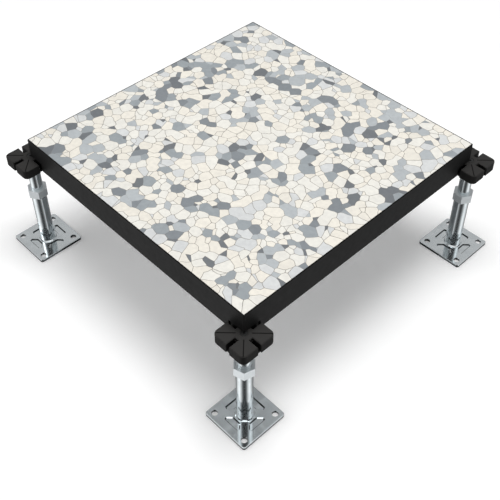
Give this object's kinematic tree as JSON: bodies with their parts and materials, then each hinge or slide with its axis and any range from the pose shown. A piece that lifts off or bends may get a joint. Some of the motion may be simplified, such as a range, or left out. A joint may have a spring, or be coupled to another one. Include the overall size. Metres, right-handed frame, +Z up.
{
  "type": "raised access floor panel",
  "caption": "Square raised access floor panel with a stone-chip vinyl covering and black edge trim, seated on height-adjustable zinc-plated corner pedestals with lobed heads.",
  "frame": {"origin": "on the subfloor, under the middle of the panel", "axes": "+Z up, X and Y along the panel's sides, the corner seen in front at +X -Y"},
  "size_m": [0.701, 0.701, 0.27],
  "materials": {
    "covering_vinyl": "satin",
    "trim_plastic": "satin",
    "panel_coating": "satin",
    "head_coating": "matte",
    "screw_black": "satin",
    "zinc_steel": "satin"
  },
  "bodies": {
    "panel": {"panel_casting": "panel_coating", "covering_sheet": "covering_vinyl", "head_screws": "screw_black", "edge_trim_front_right": "trim_plastic", "edge_trim_back_right": "trim_plastic", "edge_trim_back_left": "trim_plastic", "edge_trim_front_left": "trim_plastic", "head_front": "head_coating", "stud_front": "zinc_steel", "head_right": "head_coating", "stud_right": "zinc_steel", "head_back": "head_coating", "stud_back": "zinc_steel", "head_left": "head_coating", "stud_left": "zinc_steel"},
    "base_front": {"base_plate_front": "zinc_steel", "tube_front": "zinc_steel"},
    "nut_front": {"levelling_nut_front": "zinc_steel"},
    "base_right": {"base_plate_right": "zinc_steel", "tube_right": "zinc_steel"},
    "nut_right": {"levelling_nut_right": "zinc_steel"},
    "base_back": {"base_plate_back": "zinc_steel", "tube_back": "zinc_steel"},
    "nut_back": {"levelling_nut_back": "zinc_steel"},
    "base_left": {"base_plate_left": "zinc_steel", "tube_left": "zinc_steel"},
    "nut_left": {"levelling_nut_left": "zinc_steel"}
  },
  "joints": [
    {"name": "height_front", "type": "slide", "parent": "panel", "child": "base_front", "axis": [0, 0, 1], "range_m": [-0.02, 0.02]},
    {"name": "nut_turn_front", "type": "hinge", "parent": "base_front", "child": "nut_front", "pos_m": [0.3005, -0.3005, 0.13], "axis": [0, 0, 1], "range_deg": [-2401, 2401]},
    {"name": "height_right", "type": "slide", "parent": "panel", "child": "base_right", "axis": [0, 0, 1], "range_m": [-0.02, 0.02]},
    {"name": "nut_turn_right", "type": "hinge", "parent": "base_right", "child": "nut_right", "pos_m": [0.3005, 0.3005, 0.13], "axis": [0, 0, 1], "range_deg": [-2401, 2401]},
    {"name": "height_back", "type": "slide", "parent": "panel", "child": "base_back", "axis": [0, 0, 1], "range_m": [-0.02, 0.02]},
    {"name": "nut_turn_back", "type": "hinge", "parent": "base_back", "child": "nut_back", "pos_m": [-0.3005, 0.3005, 0.13], "axis": [0, 0, 1], "range_deg": [-2401, 2401]},
    {"name": "height_left", "type": "slide", "parent": "panel", "child": "base_left", "axis": [0, 0, 1], "range_m": [-0.02, 0.02]},
    {"name": "nut_turn_left", "type": "hinge", "parent": "base_left", "child": "nut_left", "pos_m": [-0.3005, -0.3005, 0.13], "axis": [0, 0, 1], "range_deg": [-2401, 2401]}
  ],
  "couplings": [
    {"joint": "nut_turn_front", "follows": "height_front", "rad_per_m": 2094.4},
    {"joint": "nut_turn_right", "follows": "height_right", "rad_per_m": 2094.4},
    {"joint": "nut_turn_back", "follows": "height_back", "rad_per_m": 2094.4},
    {"joint": "nut_turn_left", "follows": "height_left", "rad_per_m": 2094.4}
  ]
}
